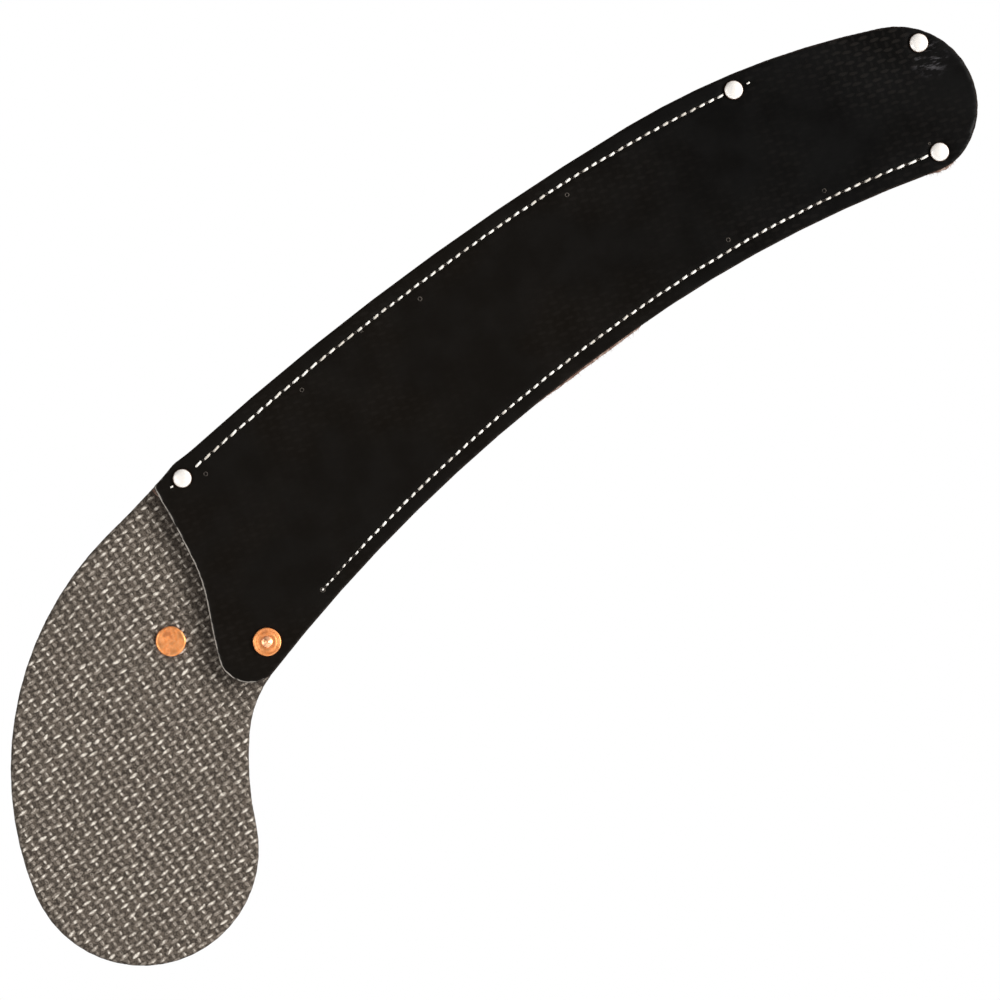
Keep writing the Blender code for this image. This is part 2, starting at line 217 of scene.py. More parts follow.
def belting_rubber():
    """Calendered black rubber cover: near black, dull, with the cloth below showing faintly."""
    made, node = begin(
        "Calendered black rubber", Roughness=0.42, Specular_IOR_Level=0.09, IOR=1.52
    )
    place = node("TexCoord")["Object"]
    axes = node("SeparateXYZ", (place,))
    turned = node("Mapping", {"Vector": place, "Rotation": (0, math.radians(CLOTH_TURN), 0)})[0]
    long, short = twill(node, turned, 0.9 * MM)
    faint = node("Math", (short, 0.45), operation="MULTIPLY")[0]
    cloth = node("Math", (long, faint), operation="ADD")[0]
    patches = node("TexNoise", {"Vector": place, "Scale": 1 / (42 * MM)})[0]

    # The cloth shows most beside the tip rivet, where the panel is drawn down over it
    beside = distance_to(node, place, DRAWN_SPOT)
    drawn = node("MapRange", (beside, 10 * MM, 36 * MM, 0.34, 0.0), **SMOOTH)[0]
    patchy = node("MapRange", (patches, 0.4, 0.7, 0.02, 0.18), **SMOOTH)[0]
    strength = node("Math", (drawn, patchy), operation="ADD")[0]
    shown = node("Math", (cloth, strength), operation="MULTIPLY")[0]
    dust = node(
        "TexNoise", {"Vector": place, "Scale": 1 / (0.9 * MM), "Detail": 3.0, "Roughness": 0.7}
    )[0]
    warm = blend(node, patches, 0.4, 0.62, "#0d0a07", "#0e0a06")
    # Painted shade: the rubber darkens towards the tip, lower down
    shaded_towards_tip = blend(node, axes[2], -160 * MM, -330 * MM, warm, "#040404", 0.8)
    lifted = node("Math", (shown, 0.75), operation="MULTIPLY")[0]
    worn = node("Mix", {0: lifted, 6: shaded_towards_tip, 7: "#2a2623"}, **COLOURS)[2]
    dusty = blend(node, dust, 0.66, 0.82, worn, "#26221e", 0.5)

    # Where the panel was cut, its plies of cloth show between skins of rubber
    normal = node("SeparateXYZ", (node("NewGeometry")["Normal"],))
    flat = node("Math", (normal[1],), operation="ABSOLUTE")[0]
    cut = node("MapRange", (flat, 0.9, 0.62), **SMOOTH)[0]
    fibre, cut_colour = cut_plies(node, place, 0.5 * MM, "#1a1411", "#4a3d35")
    edged = node("Mix", {0: cut, 6: dusty, 7: cut_colour}, **COLOURS)[2]

    # Grey streaks beside the tip rivet are a painted sheen, where the bent rubber would catch the
    # light
    reach = distance_to(node, place, PAINTED_SHEEN_SPOT)
    away = node("MapRange", (reach, 3 * MM, 9.5 * MM, 1.0, 0.0), **SMOOTH)[0]
    long_ways = node("Mapping", {"Vector": turned, "Scale": (1, 0.1, 0.3)})[0]
    grain = node("TexNoise", {"Vector": long_ways, "Scale": 1 / (1.3 * MM)})[0]
    sheen_streaks = node("MapRange", (grain, 0.5, 0.68, 0.0, 0.75), **SMOOTH)[0]
    marks = node("Math", (away, sheen_streaks), operation="MULTIPLY")[0]
    with_painted_sheen = node("Mix", {0: marks, 6: edged, 7: "#4d4b4d"}, **COLOURS)[2]

    # The throat's rim is pale: partly worn by the saw going in and out, partly a painted highlight
    # on its upward-facing rounded edge
    patch = node("TexNoise", {"Vector": place, "Scale": 1 / (3 * MM), "Detail": 3.0})[0]
    rubbed = node("MapRange", (patch, 0.25, 0.5), **SMOOTH)[0]
    for value, low, high in (
        (normal[2], 0.1, 0.45), (axes[2], -30 * MM, -20 * MM), (flat, 0.95, 0.88), (flat, 0.45, 0.6)
    ):
        mask = node("MapRange", (value, low, high), **SMOOTH)[0]
        rubbed = node("Math", (rubbed, mask), operation="MULTIPLY")[0]
    colour = node("Mix", {0: rubbed, 6: with_painted_sheen, 7: "#aaa39a"}, **COLOURS)[2]

    gloss = node("TexNoise", {"Vector": place, "Scale": 1 / (14 * MM), "Detail": 4.0})[0]
    dull = node("MapRange", (gloss, 0.3, 0.7, 0.38, 0.48), **SMOOTH)[0]
    rough = node("Math", (cut, 0.45, dull), operation="MULTIPLY_ADD")[0]
    relief = node("Math", (dust, 0.12, shown), operation="MULTIPLY_ADD")[0]
    torn = node("Math", (cut, fibre), operation="MULTIPLY")[0]
    frayed = node("Math", (torn, 2.0, relief), operation="MULTIPLY_ADD")[0]
    bump = node("Bump", {"Height": frayed, "Strength": 0.5, "Distance": 0.12 * MM})[0]
    return finish(made, Base_Color=colour, Roughness=rough, Normal=bump)


def scuffed_rubber():
    """Rubber torn by a needle or tack: greyer and duller than the smooth cover."""
    made, node = begin("Scuffed rubber", Roughness=0.7, Specular_IOR_Level=0.25)
    place = node("TexCoord")["Object"]
    torn = node(
        "TexNoise", {"Vector": place, "Scale": 1 / (0.7 * MM), "Detail": 3.0, "Roughness": 0.6}
    )[0]
    colour = blend(node, torn, 0.35, 0.7, "#1c1815", "#5a524a")
    bump = node("Bump", {"Height": torn, "Strength": 0.5, "Distance": 0.1 * MM})[0]
    return finish(made, Base_Color=colour, Normal=bump)


def bare_cloth():
    """The belting's bare side: coarse cloth soaked in grey-brown frictioning rubber."""
    made, node = begin("Frictioned belting cloth", Roughness=0.9, Specular_IOR_Level=0.2)
    place = node("TexCoord")["Object"]
    long, short = twill(node, place, 0.45 * MM)
    floats = node("Math", (long, short), operation="MAXIMUM")[0]
    speck = node(
        "TexNoise", {"Vector": place, "Scale": 1 / (0.95 * MM), "Detail": 3.0, "Roughness": 0.75}
    )[0]
    blotch = node("TexNoise", {"Vector": place, "Scale": 1 / (3.2 * MM)})[0]
    wide = node("TexNoise", {"Vector": place, "Scale": 1 / (30 * MM)})[0]
    dark = blend(node, speck, 0.36, 0.66, "#2f2923", "#6a6056")
    patchy = blend(node, blotch, 0.35, 0.7, dark, "#39322c", 0.45)
    broken = node("MapRange", (speck, 0.3, 0.6, 0.5, 1.0), **SMOOTH)[0]
    soft = node("Math", (floats, broken), operation="MULTIPLY")[0]
    rubbed = node("MapRange", (wide, 0.3, 0.7, 0.68, 0.95), **SMOOTH)[0]
    halo = node("Math", (soft, rubbed), operation="MULTIPLY")[0]
    woven = node("Mix", {0: halo, 6: patchy, 7: "#90867b"}, **COLOURS)[2]

    # Painted shadow: the cloth is darkened beside the front panel's edge at the throat, where that
    # edge shades it
    painted_shadow = node("Attribute", attribute_name="painted_shadow")["Fac"]
    shadow_blotches = node("MapRange", (blotch, 0.3, 0.65, 0.35, 1.0))[0]
    shadow_amount = node("Math", (painted_shadow, shadow_blotches), operation="MULTIPLY")[0]
    front = node("Mix", {0: shadow_amount, 6: woven, 7: "#1f1815"}, **COLOURS)[2]

    # The rear is covered with black rubber, and the cut edges show the plies between the two
    normal = node("SeparateXYZ", (node("NewGeometry")["Normal"],))
    flat = node("Math", (normal[1],), operation="ABSOLUTE")[0]
    cut = node("MapRange", (flat, 0.5, 0.3), **SMOOTH)[0]
    cut_colour = cut_plies(node, place, 0.6 * MM, "#2b231d", "#6b5e53")[1]
    edged = node("Mix", {0: cut, 6: front, 7: cut_colour}, **COLOURS)[2]
    imprint = node("Math", (long, short), operation="ADD")[0]
    cover = blend(node, imprint, 0.3, 1.0, "#100e0c", "#1c1a18", 0.5)
    rear = node("MapRange", (normal[1], 0.5, 0.7), **SMOOTH)[0]
    colour = node("Mix", {0: rear, 6: edged, 7: cover}, **COLOURS)[2]

    rough = node("MapRange", (rear, 0.0, 1.0, 0.9, 0.44), **SMOOTH)[0]
    relief = node("Math", (speck, 0.8, floats), operation="MULTIPLY_ADD")[0]
    depth = node("MapRange", (rear, 0.0, 1.0, 1.0, 0.35), **SMOOTH)[0]
    height = node("Math", (relief, depth), operation="MULTIPLY")[0]
    bump = node("Bump", {"Height": height, "Strength": 0.7, "Distance": 0.2 * MM})[0]
    return finish(made, Base_Color=colour, Roughness=rough, Normal=bump)


def float_yarn(name, stretch):
    """Raw cotton-polyester yarn, rubbed clean on top and grey with rubber where it dips under."""
    made, node = begin(name, Roughness=0.82, Specular_IOR_Level=0.25)
    place = node("TexCoord")["Object"]
    drawn = node("Mapping", {"Vector": place, "Scale": stretch})[0]
    fibre = node("TexNoise", {"Vector": drawn, "Scale": 1 / (0.35 * MM), "Roughness": 0.6})[0]
    ragged = node("TexNoise", {"Vector": place, "Scale": 1 / (0.9 * MM), "Roughness": 0.6})[0]
    bare = node("Attribute", attribute_name="bareness")["Fac"]
    for pattern, strength in ((fibre, 0.9), (ragged, 1.8)):
        centred = node("Math", (pattern, 0.5), operation="SUBTRACT")[0]
        bare = node("Math", (centred, strength, bare), operation="MULTIPLY_ADD")[0]
    low = blend(node, bare, 0.0, 0.5, "#433c35", "#8b8176")
    colour = blend(node, bare, 0.45, 1.15, low, "#dad2c6")
    bump = node("Bump", {"Height": fibre, "Strength": 0.6, "Distance": 0.1 * MM})[0]
    return finish(made, Base_Color=colour, Normal=bump)


def bonded_thread():
    """White bonded polyester thread: three plies, waxed, slightly soiled at its holes."""
    made, node = begin("Bonded white thread", Roughness=0.55, Sheen_Weight=0.2)
    place = node("TexCoord")["Object"]
    clean = node("Attribute", attribute_name="bareness")["Fac"]
    fuzz = node("TexNoise", {"Vector": place, "Scale": 1 / (0.3 * MM)})[0]
    centred = node("Math", (fuzz, 0.5), operation="SUBTRACT")[0]
    soil = node("Math", (centred, 0.5, clean), operation="MULTIPLY_ADD")[0]
    aged = node("TexNoise", {"Vector": place, "Scale": 1 / (7 * MM)})[0]
    yarn = blend(node, aged, 0.5, 0.62, "#f3eee5", "#c9c1b5")
    colour = blend(node, soil, 0.05, 0.6, "#4b443c", yarn)
    bump = node("Bump", {"Height": fuzz, "Strength": 0.35, "Distance": 0.05 * MM})[0]
    return finish(made, Base_Color=colour, Normal=bump)


def welt_leather():
    """Vegetable-tanned welt leather at its cut edge: red-brown, fibrous, paler where frayed."""
    made, node = begin("Raw-edged welt leather", Roughness=0.86, Specular_IOR_Level=0.2)
    place = node("TexCoord")["Object"]
    layered = node("Mapping", {"Vector": place, "Scale": (0.35, 1.6, 0.35)})[0]
    layers = node(
        "TexNoise", {"Vector": layered, "Scale": 1 / (1.1 * MM), "Detail": 3.0, "Roughness": 0.65}
    )[0]
    blot = node("TexNoise", {"Vector": place, "Scale": 1 / (9 * MM)})[0]
    base = blend(node, blot, 0.35, 0.65, "#5f4438", "#8d7164")
    colour = blend(node, layers, 0.42, 0.75, base, "#c8b2a5")
    bump = node("Bump", {"Height": layers, "Strength": 0.8, "Distance": 0.35 * MM})[0]
    return finish(made, Base_Color=colour, Normal=bump)


def strap_leather():
    """Oiled russet strap leather: pebbled grain, darker in its creases."""
    made, node = begin("Oiled russet strap leather", Roughness=0.5, Specular_IOR_Level=0.4)
    place = node("TexCoord")["Object"]
    pebble = node(
        "TexVoronoi", {"Vector": place, "Scale": 1 / (1.1 * MM)}, feature="DISTANCE_TO_EDGE"
    )[0]
    tone = node("TexNoise", {"Vector": place, "Scale": 1 / (13 * MM), "Detail": 3.0})[0]
    worn = blend(node, tone, 0.3, 0.7, "#4a2417", "#6e3a24")
    crease = node("MapRange", (pebble, 0.0, 0.12, 0.6, 0.0), **SMOOTH)[0]
    colour = node("Mix", {0: crease, 6: worn, 7: "#2e150d"}, **COLOURS)[2]
    rough = node("MapRange", (tone, 0.3, 0.7, 0.42, 0.6), **SMOOTH)[0]
    grain = node("MapRange", (pebble, 0.0, 0.2), **SMOOTH)[0]
    bump = node("Bump", {"Height": grain, "Strength": 0.35, "Distance": 0.12 * MM})[0]
    return finish(made, Base_Color=colour, Roughness=rough, Normal=bump)


def nickel():
    """Bright nickel plate over brass, with fine handling scratches and painted brown shade on its
    steep rim.
    """
    made, node = begin("Satin nickel plate", Metallic=0.45, Roughness=0.45)
    place = node("TexCoord")["Object"]
    haze = node("TexNoise", {"Vector": place, "Scale": 1 / (1.6 * MM), "Detail": 3.0})[0]
    wiped = node("Mapping", {"Vector": place, "Scale": (1, 1, 0.12)})[0]
    scratch = node("TexNoise", {"Vector": wiped, "Scale": 1 / (0.4 * MM)})[0]
    clean = blend(node, haze, 0.35, 0.7, "#fbf7f2", "#f6efe7")
    normal = node("SeparateXYZ", (node("NewGeometry")["Normal"],))
    flat = node("Math", (normal[1],), operation="ABSOLUTE")[0]
    # Painted shade: a brown ring where the cap's rim turns steep
    colour = blend(node, flat, 0.8, 0.4, clean, "#7d5639")
    rough = node("MapRange", (haze, 0.3, 0.7, 0.42, 0.55), **SMOOTH)[0]
    bump = node("Bump", {"Height": scratch, "Strength": 0.12, "Distance": 0.03 * MM})[0]
    return finish(made, Base_Color=colour, Roughness=rough, Normal=bump)


def copper(name, clean, warm, brown):
    """Soft copper, bright where it was hammered and brown where it has begun to tarnish."""
    made, node = begin(name, Metallic=1.0, Roughness=0.4)
    place = node("TexCoord")["Object"]
    tarnish = node(
        "TexNoise", {"Vector": place, "Scale": 1 / (4.6 * MM), "Detail": 3.0, "Roughness": 0.6}
    )[0]
    fleck = node(
        "TexNoise", {"Vector": place, "Scale": 1 / (0.9 * MM), "Detail": 3.0, "Roughness": 0.65}
    )[0]
    bright = blend(node, fleck, 0.35, 0.7, clean, warm)
    colour = blend(node, tarnish, 0.52, 0.72, bright, brown, 0.7)
    rough = node("MapRange", (tarnish, 0.35, 0.7, 0.42, 0.6), **SMOOTH)[0]
    bump = node("Bump", {"Height": fleck, "Strength": 0.3, "Distance": 0.08 * MM})[0]
    return finish(made, Base_Color=colour, Roughness=rough, Normal=bump)


def studio_paint():
    """Matt pale studio paint, whose middle is lit from below like a light table."""
    made, node = begin("Matt pale studio paint", Roughness=0.9, Emission_Color=(1, 1, 1, 1))
    place = node("TexCoord")["Object"]
    size = node("SeparateXYZ", (node("VectorMath", (place,), operation="ABSOLUTE")[0],))
    far = node("Math", (size[0], size[1]), operation="MAXIMUM")[0]
    table = node("Math", (far, LIGHT_TABLE / 2), operation="LESS_THAN")[0]
    seen = node("LightPath")["Is Camera Ray"]
    lit = node("Math", (table, seen), operation="MAXIMUM")[0]
    glow = node("Math", (lit, 0.55), operation="MULTIPLY")[0]
    mottle = node("TexNoise", {"Vector": place, "Scale": 1 / 0.4, "Detail": 3.0})[0]
    colour = node("Mix", {0: mottle, 6: "#e4e3e1", 7: "#ecebe9"}, **COLOURS)[2]
    return finish(made, Base_Color=colour, Emission_Strength=glow)


# ---------------------------------------------------------------- modelling


def take(piece):
    """Make one object the only one selected, and the active one."""
    bpy.ops.object.select_all(action="DESELECT")
    piece.select_set(True)
    bpy.context.view_layer.objects.active = piece


def edit(piece):
    """Start editing one object, with no face selected."""
    take(piece)
    bpy.ops.object.mode_set(mode="EDIT")
    bpy.ops.mesh.select_mode(type="FACE")
    bpy.ops.mesh.select_all(action="DESELECT")


def leave():
    bpy.ops.object.mode_set(mode="OBJECT")


def smooth_faces(piece):
    """Shade all of a piece's faces smooth."""
    edit(piece)
    bpy.ops.mesh.select_all(action="SELECT")
    bpy.ops.mesh.faces_shade_smooth()
    leave()


def spawn(name, data):
    """A new object in the scene."""
    made = bpy.data.objects.new(name, data)
    bpy.context.collection.objects.link(made)
    return made


def copy_node(node, name):
    """A merged copy of a CAD node, ready to be shaped."""
    mesh = nodes[node].data.copy()
    mesh.materials.clear()
    made = spawn(name, mesh)
    edit(made)
    bpy.ops.mesh.select_all(action="SELECT")
    bpy.ops.mesh.remove_doubles(threshold=0.01 * MM)
    leave()
    bpy.ops.mesh.customdata_custom_splitnormals_clear()
    return made


def apply_all(piece):
    take(piece)
    for modifier in list(piece.modifiers):
        bpy.ops.object.modifier_apply(modifier=modifier.name)


def reclad(piece, cell, rounds=3, onto=None):
    """Give a piece an even skin of small faces, softened, and true to a CAD node's outline."""
    skin = piece.modifiers.new("Skin", "REMESH")
    skin.mode = "VOXEL"
    skin.voxel_size = cell
    skin.use_smooth_shade = True
    if onto:
        even = piece.modifiers.new("Even", "SMOOTH")
        even.iterations = 5
        snug = piece.modifiers.new("Snug", "SHRINKWRAP")
        snug.wrap_method = "NEAREST_SURFACEPOINT"
        snug.target = nodes[onto]
    soft = piece.modifiers.new("Soften", "SMOOTH")
    soft.factor = 0.5
    soft.iterations = rounds
    apply_all(piece)


def points(piece):
    """The places of a piece's points, one row each."""
    flat = np.empty(len(piece.data.vertices) * 3)
    piece.data.vertices.foreach_get("co", flat)
    return flat.reshape(-1, 3)


def put(piece, places):
    piece.data.vertices.foreach_set("co", places.ravel())
    piece.data.update()


def note(piece, name, values):
    """Store a number for each point, for the material to read."""
    layer = piece.data.attributes.get(name) or piece.data.attributes.new(name, "FLOAT", "POINT")
    layer.data.foreach_set("value", np.asarray(values, float))


def rolling(places, size, seed):
    """Smooth noise between about -1 and 1 at each place."""
    return np.array([noise.noise(Vector(p) / size + Vector((seed, 0, 0))) for p in places])


def settle(piece):
    """Put a finished piece's place into its mesh."""
    take(piece)
    bpy.ops.object.transform_apply(location=True, rotation=True, scale=True)
    return piece


def joined(pieces, name):
    """One object made of several."""
    bpy.ops.object.select_all(action="DESELECT")
    for piece in pieces:
        piece.select_set(True)
    bpy.context.view_layer.objects.active = pieces[0]
    bpy.ops.object.join()
    made = bpy.context.view_layer.objects.active
    made.name = name
    return settle(made)


def hand_over(piece, material, slot, *replaced):
    """Finish a piece: its material, its body and the CAD nodes it stands for. The slot is not used.
    """
    piece.data.materials.clear()
    piece.data.materials.append(material)
    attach(piece, "root")
    if replaced:
        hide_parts(*replaced)
    return piece


def arc(start, end, radius, step=0.5):
    """Points a step apart from start to end, in mm, on the short arc between them."""
    start, end = Vector(start), Vector(end)
    chord = end - start
    side = math.copysign(1.0, radius)
    normal = Vector((-chord.y, chord.x)).normalized() * side
    centre = (start + end) / 2 + normal * math.sqrt(radius**2 - chord.length_squared / 4)
    turn = 2 * math.asin(chord.length / 2 / abs(radius)) * side
    count = math.ceil(abs(turn * radius) / step)
    return [centre + Matrix.Rotation(turn * i / count, 2) @ (start - centre) for i in range(count)]


def seam_line(corners):
    """Points along a seam, in metres."""
    line = []
    for (x, z, radius), after in zip(corners, corners[1:]):
        line += arc((x, z), after[:2], radius)
    return [p * MM for p in line + [Vector(corners[-1][:2])]]


def centre_of(node):
    """A CAD node's middle, seen from the front."""
    low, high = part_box(node)
    return (low[0] + high[0]) / 2, (low[2] + high[2]) / 2


def pinch_fall(x, z):
    """How far the front panel's face has dropped at a place."""
    spine, tooth = Vector(centre_of("nickel_cap_spine")), Vector(centre_of("nickel_cap_tooth"))
    along = (tooth - spine).normalized()
    distance = (x - spine.x) * -along.y + (z - spine.y) * along.x
    part = np.clip((distance - PINCH_START) / (PINCH_END - PINCH_START), 0, 1)
    return PINCH_DEPTH * part * part * (3 - 2 * part)


def nearest(places, line):
    """Each place's distance in the XZ plane from a line of points."""
    track = np.array([(p.x, p.y) for p in line])
    closest = np.full(len(places), 1.0)
    for start in range(0, len(track), 40):
        part = track[start : start + 40]
        gaps = np.hypot(
            places[:, None, 0] - part[None, :, 0], places[:, None, 2] - part[None, :, 1]
        )
        closest = np.minimum(closest, gaps.min(1))
    return closest


SEAMS = {"spine": seam_line(SPINE_SEAM), "tooth": seam_line(TOOTH_SEAM)}


def seam_pull(places):
    """How far the seams draw each place in."""
    pull = np.zeros(len(places))
    for line in SEAMS.values():
        pull += GROOVE_DEPTH * np.exp(-((nearest(places, line) / GROOVE_WIDTH) ** 2))
    return pull


def make_front_panel():
    """The front panel: rounded edges, seams drawn in, rivets bedded, its pocket slightly full."""
    panel = copy_node("front_panel", "front_panel_rubber")
    reclad(panel, 1.0 * MM, 3, "front_panel")
    places = points(panel)
    depth = places[:, 1] - (FRONT_FACE + pinch_fall(places[:, 0], places[:, 2]))
    note(panel, "ply_depth", depth)
    face = np.clip(1 - depth / (1.2 * MM), 0, 1)
    pull = seam_pull(places)
    for where in NICKEL_SPOTS:
        x, z = centre_of("nickel_cap_" + where)
        gap = np.hypot(places[:, 0] - x, places[:, 2] - z)
        pull += CAP_SINK * np.exp(-((np.maximum(gap - 3.6 * MM, 0) / (2.2 * MM)) ** 2))
    pull += 0.16 * MM * rolling(places, 24 * MM, 3.0) + 0.05 * MM * rolling(places, 5 * MM, 8.0)
    places[:, 1] += pull * face
    put(panel, places)
    return hand_over(panel, RUBBER, "belting_rubber", "front_panel")


def throat_painted_shadow(x, y, z):
    """How much painted shadow darkens the bare cloth: most beside the front panel's edge."""
    gap = SOLIDS["front_panel"].find_nearest(Vector((x, FRONT_FACE + BELTING, z)))[3]
    return 0.62 * max(1 - gap / (13 * MM), 0) ** 1.3


def make_back_panel():
    """The back panel: its bare cloth side forwards, its rubber side to the rear."""
    panel = copy_node("back_panel", "back_panel_belting")
    reclad(panel, 1.1 * MM, 3, "back_panel")
    places = points(panel)
    note(panel, "ply_depth", places[:, 1] - SHIELD_FACE)
    # Painted shadow beside the front panel's edge, stored for the cloth's material
    note(panel, "painted_shadow", [throat_painted_shadow(*p) for p in places])
    rear = np.clip((places[:, 1] + 1.2 * MM) / (1.2 * MM), 0, 1)
    pull = seam_pull(places)
    pull += 0.12 * MM * rolling(places, 24 * MM, 5.0)
    places[:, 1] -= pull * rear
    put(panel, places)
    return hand_over(panel, CLOTH, "woven_belting", "back_panel")


def lay_ring(sides, radius, lobes=0, depth=0.0):
    """Start a strand: a ring of points in the YZ plane, round or with twisted plies' lobes."""
    bpy.ops.mesh.primitive_circle_add(
        vertices=sides, radius=radius, rotation=(0, math.radians(90), 0)
    )
    ring = bpy.context.object
    settle(ring)
    for vert in ring.data.vertices:
        turn = math.atan2(vert.co.z, vert.co.y)
        vert.co *= 1 + depth * math.cos(lobes * turn)
    return ring


def make_stitch(stations, sides=9, lobes=3, twist=24):
    """One stitch along X: its ends dip through the rubber, and its three plies are laid up."""
    x, lift, size = stations[0]
    stitch = lay_ring(sides, THREAD, lobes, 0.12)
    edit(stitch)
    bpy.ops.mesh.select_all(action="SELECT")
    bpy.ops.mesh.edge_face_add()
    bpy.ops.transform.resize(value=(1, size, size), center_override=(0, 0, 0))
    bpy.ops.transform.translate(value=(x, -lift, 0))
    last = size
    for after, rise, size in stations[1:]:
        bpy.ops.mesh.extrude_region_move(
            TRANSFORM_OT_translate={"value": (after - x, lift - rise, 0)}
        )
        scale = size / last
        spot = (after, -rise, 0)
        bpy.ops.transform.resize(value=(1, scale, scale), center_override=spot)
        bpy.ops.transform.rotate(value=math.radians(twist), orient_axis="X", center_override=spot)
        x, lift, last = after, rise, size
    bpy.ops.mesh.select_all(action="SELECT")
    bpy.ops.mesh.normals_make_consistent(inside=False)
    bpy.ops.mesh.faces_shade_smooth()
    leave()
    lengths = np.abs(points(stitch)[:, 0]) * 2
    note(stitch, "bareness", np.clip((1.12 - lengths) * 3.0, 0, 1))
    return stitch


def stitch_plan(seam):
    """Where a seam's stitches lie: middle distance and length, in metres, along the seam."""
    line = SEAMS[seam]
    total = sum((b - a).length for a, b in zip(line, line[1:]))
    plan, at = [], 3.2 * MM
    if seam == "tooth":
        plan, at = [(0.2 * MM, 1.1 * MM), (3.0 * MM, 1.3 * MM)], 5.8 * MM
    while at < total:
        if seam == "spine":
            pitch = 4.9 * MM if at < 88 * MM else 4.3 * MM
            length = 3.7 * MM if at < 90 * MM else 2.8 * MM
        else:
            late = max(at - 268 * MM, 0) / (40 * MM)
            early = at < 22 * MM
            pitch = 3.85 * MM if early else (4.3 + 1.1 * late) * MM
            length = 1.9 * MM if early else (2.75 + 1.0 * late) * MM
        if seam == "spine" and at + pitch > total:
            length = 1.7 * MM
        plan.append((at, length))
        at += pitch
    return plan


def at_distance(line, distance):
    """The place and direction at a distance along a line of points."""
    for a, b in zip(line, line[1:]):
        step = (b - a).length
        if distance <= step:
            break
        distance -= step
    return a.lerp(b, distance / step), (b - a).normalized()


# The one stitch beyond the mouth rivet, where the spine seam was locked: its place and direction
LOCK_STITCH = Vector((64.5 * MM, -21.1 * MM)), Vector((-0.1, -0.99))


def near_cap(place, room):
    """Whether a place on a seam is closer to a nickel cap's middle than some room."""
    spots = [centre_of("nickel_cap_" + where) for where in NICKEL_SPOTS]
    return min(math.hypot(place.x - x, place.y - z) for x, z in spots) < room


def sew(name, seam, surface, facing, chance, slant):
    """A seam's stitches on one face of the scabbard."""
    copies = []
    plan = [(*at_distance(SEAMS[seam], at), length) for at, length in stitch_plan(seam)]
    if seam == "spine" and facing < 0:
        plan.append((*LOCK_STITCH, 1.5 * MM))
    for place, along, length in plan:
        stretch = length * chance.uniform(0.93, 1.07)
        angle = math.atan2(along.y, along.x) + math.radians(slant + chance.uniform(-3, 3))
        if near_cap(place, 3.4 * MM):
            continue
        across = Vector((-along.y, along.x)) * chance.uniform(-0.1, 0.1) * MM
        stitch = spawn(name, STITCH.data.copy())
        turn = Matrix.Rotation(-angle, 4, "Y")
        girth = chance.uniform(0.95, 1.12) * (0.75 if length < 2.1 * MM else 1.0)
        size = Matrix.Diagonal((stretch, 1.0, girth, 1.0))
        spot = Vector((place.x + across.x, surface, place.y + across.y))
        if facing > 0:
            size = Matrix.Rotation(math.pi, 4, "X") @ size
        stitch.matrix_world = Matrix.Translation(spot) @ turn @ size
        copies.append(stitch)
    return joined(copies, name)


def make_needle_holes(name, seam, surface, facing):
    """The puckered rims of the needle holes between the stitches."""
    copies = []
    plan = stitch_plan(seam)
    bpy.ops.mesh.primitive_torus_add(
        major_segments=10, minor_segments=5, major_radius=0.5 * MM, minor_radius=0.14 * MM,
        rotation=(math.radians(90), 0, 0),
    )
    rim = settle(bpy.context.object)
    smooth_faces(rim)
    for (at, length), (following, _) in zip(plan, plan[1:]):
        place, along = at_distance(SEAMS[seam], (at + following) / 2)
        if near_cap(place, 4.6 * MM):
            continue
        copy = spawn(name, rim.data.copy())
        spot = Vector((place.x, surface + 0.1 * MM * facing, place.y))
        turn = Matrix.Rotation(-math.atan2(along.y, along.x), 4, "Y")
        copy.matrix_world = Matrix.Translation(spot) @ turn @ Matrix.Diagonal((1.25, 1, 0.8, 1))
        copies.append(copy)
    bpy.data.objects.remove(rim)
    return joined(copies, name)


def make_float():
    """One float of yarn along Z: a flattened grain with drawn-out ends, one unit long and wide."""
    bpy.ops.mesh.primitive_uv_sphere_add(segments=8, ring_count=6, radius=0.5)
    shape = bpy.context.object
    for vert in shape.data.vertices:
        reach = abs(vert.co.z) * 2
        narrow = 1 - 0.45 * reach**1.5
        vert.co.x *= narrow
        vert.co.y *= narrow
    smooth_faces(shape)
    return settle(shape)


def solid(node):
    """A CAD node's faces, to measure against."""
    mesh = nodes[node].data
    return BVHTree.FromPolygons([v.co for v in mesh.vertices], [p.vertices for p in mesh.polygons])


PLATES = ("back_panel", "front_panel", "welt_spine_side", "welt_tooth_side")
SOLIDS = {name: solid(name) for name in PLATES}


def inside(node, x, z):
    """Whether a line from the front through a place meets a CAD node."""
    return SOLIDS[node].ray_cast(Vector((x, -0.05, z)), Vector((0, 1, 0)))[0] is not None


# A float's middle keeps this far inside the outline, whose edges are rounded
EDGE_ROOM = ((1.0 * MM, 0), (-1.0 * MM, 0), (0, 1.0 * MM), (0, -1.0 * MM))

# The front panel hides all floats that lie further than this below its upper edge
HIDDEN = 12 * MM


